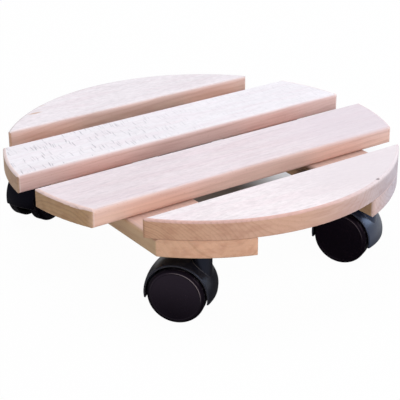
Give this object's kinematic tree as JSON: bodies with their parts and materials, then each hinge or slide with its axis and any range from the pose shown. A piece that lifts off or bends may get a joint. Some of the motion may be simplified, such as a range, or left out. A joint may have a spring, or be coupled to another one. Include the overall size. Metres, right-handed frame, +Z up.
{
  "type": "rolling plant stand",
  "caption": "Low round rolling plant stand: wooden slats screwed across two bars and cut to one circle, on swivelling twin-wheel casters, to carry and roll a heavy pot.",
  "frame": {"origin": "on the floor, under the middle of the round deck", "axes": "+Z up; X along the slats; Y along the crossbars, with -Y the front of the picture"},
  "size_m": [0.289, 0.29, 0.078],
  "materials": {
    "slat_wood": "planed beech, clear satin",
    "crossbar_wood": "planed beech, clear satin",
    "hood_plastic": "black nylon, satin",
    "wheel_plastic": "black nylon, satin",
    "socket_plastic": "black, matt",
    "stem_steel": "bright drawn steel",
    "spring_steel": "oiled spring steel",
    "screw_steel": "yellow zinc"
  },
  "bodies": {
    "deck": {"slat_back": "slat_wood", "slat_mid_back": "slat_wood", "slat_mid_front": "slat_wood", "slat_front": "slat_wood", "crossbar_left": "crossbar_wood", "crossbar_right": "crossbar_wood", "slat_screws_left": "screw_steel", "slat_screws_right": "screw_steel", "front_left_socket": "socket_plastic", "front_left_stem": "stem_steel", "front_left_grip_ring": "spring_steel", "front_left_keeper_ring": "spring_steel", "front_right_socket": "socket_plastic", "front_right_stem": "stem_steel", "front_right_grip_ring": "spring_steel", "front_right_keeper_ring": "spring_steel", "back_left_socket": "socket_plastic", "back_left_stem": "stem_steel", "back_left_grip_ring": "spring_steel", "back_left_keeper_ring": "spring_steel", "back_right_socket": "socket_plastic", "back_right_stem": "stem_steel", "back_right_grip_ring": "spring_steel", "back_right_keeper_ring": "spring_steel"},
    "front_left_caster": {"front_left_hood": "hood_plastic", "front_left_axle": "stem_steel"},
    "front_left_left_wheel": {"front_left_left_wheel": "wheel_plastic"},
    "front_left_right_wheel": {"front_left_right_wheel": "wheel_plastic"},
    "front_right_caster": {"front_right_hood": "hood_plastic", "front_right_axle": "stem_steel"},
    "front_right_left_wheel": {"front_right_left_wheel": "wheel_plastic"},
    "front_right_right_wheel": {"front_right_right_wheel": "wheel_plastic"},
    "back_left_caster": {"back_left_hood": "hood_plastic", "back_left_axle": "stem_steel"},
    "back_left_left_wheel": {"back_left_left_wheel": "wheel_plastic"},
    "back_left_right_wheel": {"back_left_right_wheel": "wheel_plastic"},
    "back_right_caster": {"back_right_hood": "hood_plastic", "back_right_axle": "stem_steel"},
    "back_right_left_wheel": {"back_right_left_wheel": "wheel_plastic"},
    "back_right_right_wheel": {"back_right_right_wheel": "wheel_plastic"}
  },
  "joints": [
    {"name": "front_left_swivel", "type": "hinge", "parent": "deck", "child": "front_left_caster", "pos_m": [-0.0725, -0.10549, 0.048], "axis": [0, 0, 1], "continuous": true},
    {"name": "front_left_left_wheel_spin", "type": "hinge", "parent": "front_left_caster", "child": "front_left_left_wheel", "pos_m": [-0.08201, -0.09415, 0.02], "axis": [0.766, 0.6428, 0], "continuous": true},
    {"name": "front_left_right_wheel_spin", "type": "hinge", "parent": "front_left_caster", "child": "front_left_right_wheel", "pos_m": [-0.08201, -0.09415, 0.02], "axis": [0.766, 0.6428, 0], "continuous": true},
    {"name": "front_right_swivel", "type": "hinge", "parent": "deck", "child": "front_right_caster", "pos_m": [0.0725, -0.10549, 0.048], "axis": [0, 0, 1], "continuous": true},
    {"name": "front_right_left_wheel_spin", "type": "hinge", "parent": "front_right_caster", "child": "front_right_left_wheel", "pos_m": [0.06567, -0.09236, 0.02], "axis": [0.887, 0.4617, 0], "continuous": true},
    {"name": "front_right_right_wheel_spin", "type": "hinge", "parent": "front_right_caster", "child": "front_right_right_wheel", "pos_m": [0.06567, -0.09236, 0.02], "axis": [0.887, 0.4617, 0], "continuous": true},
    {"name": "back_left_swivel", "type": "hinge", "parent": "deck", "child": "back_left_caster", "pos_m": [-0.0725, 0.10549, 0.048], "axis": [0, 0, 1], "continuous": true},
    {"name": "back_left_left_wheel_spin", "type": "hinge", "parent": "back_left_caster", "child": "back_left_left_wheel", "pos_m": [-0.08602, 0.09947, 0.02], "axis": [-0.4067, 0.9135, 0], "continuous": true},
    {"name": "back_left_right_wheel_spin", "type": "hinge", "parent": "back_left_caster", "child": "back_left_right_wheel", "pos_m": [-0.08602, 0.09947, 0.02], "axis": [-0.4067, 0.9135, 0], "continuous": true},
    {"name": "back_right_swivel", "type": "hinge", "parent": "deck", "child": "back_right_caster", "pos_m": [0.0725, 0.10549, 0.048], "axis": [0, 0, 1], "continuous": true},
    {"name": "back_right_left_wheel_spin", "type": "hinge", "parent": "back_right_caster", "child": "back_right_left_wheel", "pos_m": [0.05859, 0.11055, 0.02], "axis": [0.342, 0.9397, 0], "continuous": true},
    {"name": "back_right_right_wheel_spin", "type": "hinge", "parent": "back_right_caster", "child": "back_right_right_wheel", "pos_m": [0.05859, 0.11055, 0.02], "axis": [0.342, 0.9397, 0], "continuous": true}
  ]
}
